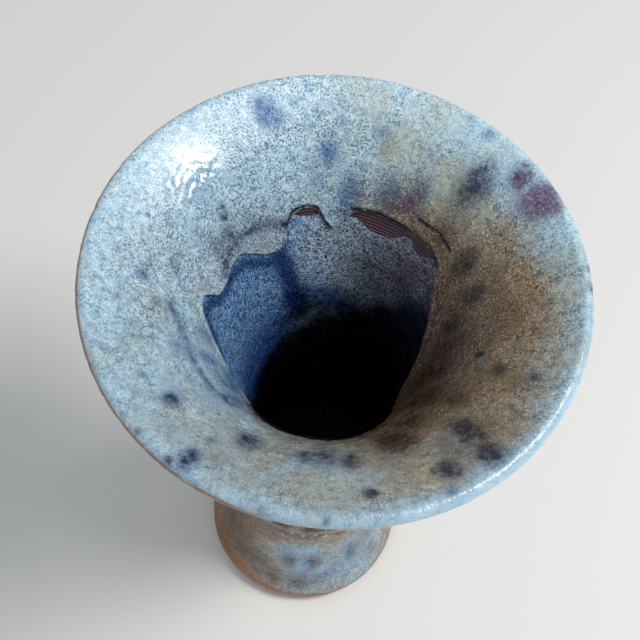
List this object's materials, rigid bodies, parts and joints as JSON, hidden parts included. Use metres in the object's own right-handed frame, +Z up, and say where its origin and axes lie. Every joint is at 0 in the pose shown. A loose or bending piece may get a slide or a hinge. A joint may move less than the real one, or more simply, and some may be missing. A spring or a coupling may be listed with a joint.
{
  "type": "gu vase",
  "caption": "Tall hollow beaker vase with a wide trumpet mouth, a round central knop and a spreading foot ring, in thick opalescent glaze.",
  "frame": {"origin": "centre of the foot ring's resting face", "axes": "+Z up along the vase's axis, towards the mouth; -Y is the side nearest the picture's camera"},
  "size_m": [0.17, 0.17, 0.255],
  "materials": {
    "stoneware": "bare reddish-brown stoneware, matt",
    "luting_slip": "dried and fired slip, matt",
    "outer_glaze": "mottled blue-grey opalescent glaze, orange-peel gloss, brown on edges",
    "mouth_glaze": "thick pale blue opalescent glaze with purple splashes, orange-peel gloss",
    "throat_glaze": "thin dark blue to brown glaze, glossy"
  },
  "bodies": {
    "root": {"mouth_section": "stoneware", "middle_section": "stoneware", "foot_section": "stoneware", "base_floor": "stoneware", "upper_luting_slip": "luting_slip", "lower_luting_slip": "luting_slip", "floor_luting_slip": "luting_slip", "outer_glaze": "outer_glaze", "mouth_glaze": "mouth_glaze", "throat_glaze": "throat_glaze"}
  },
  "joints": []
}
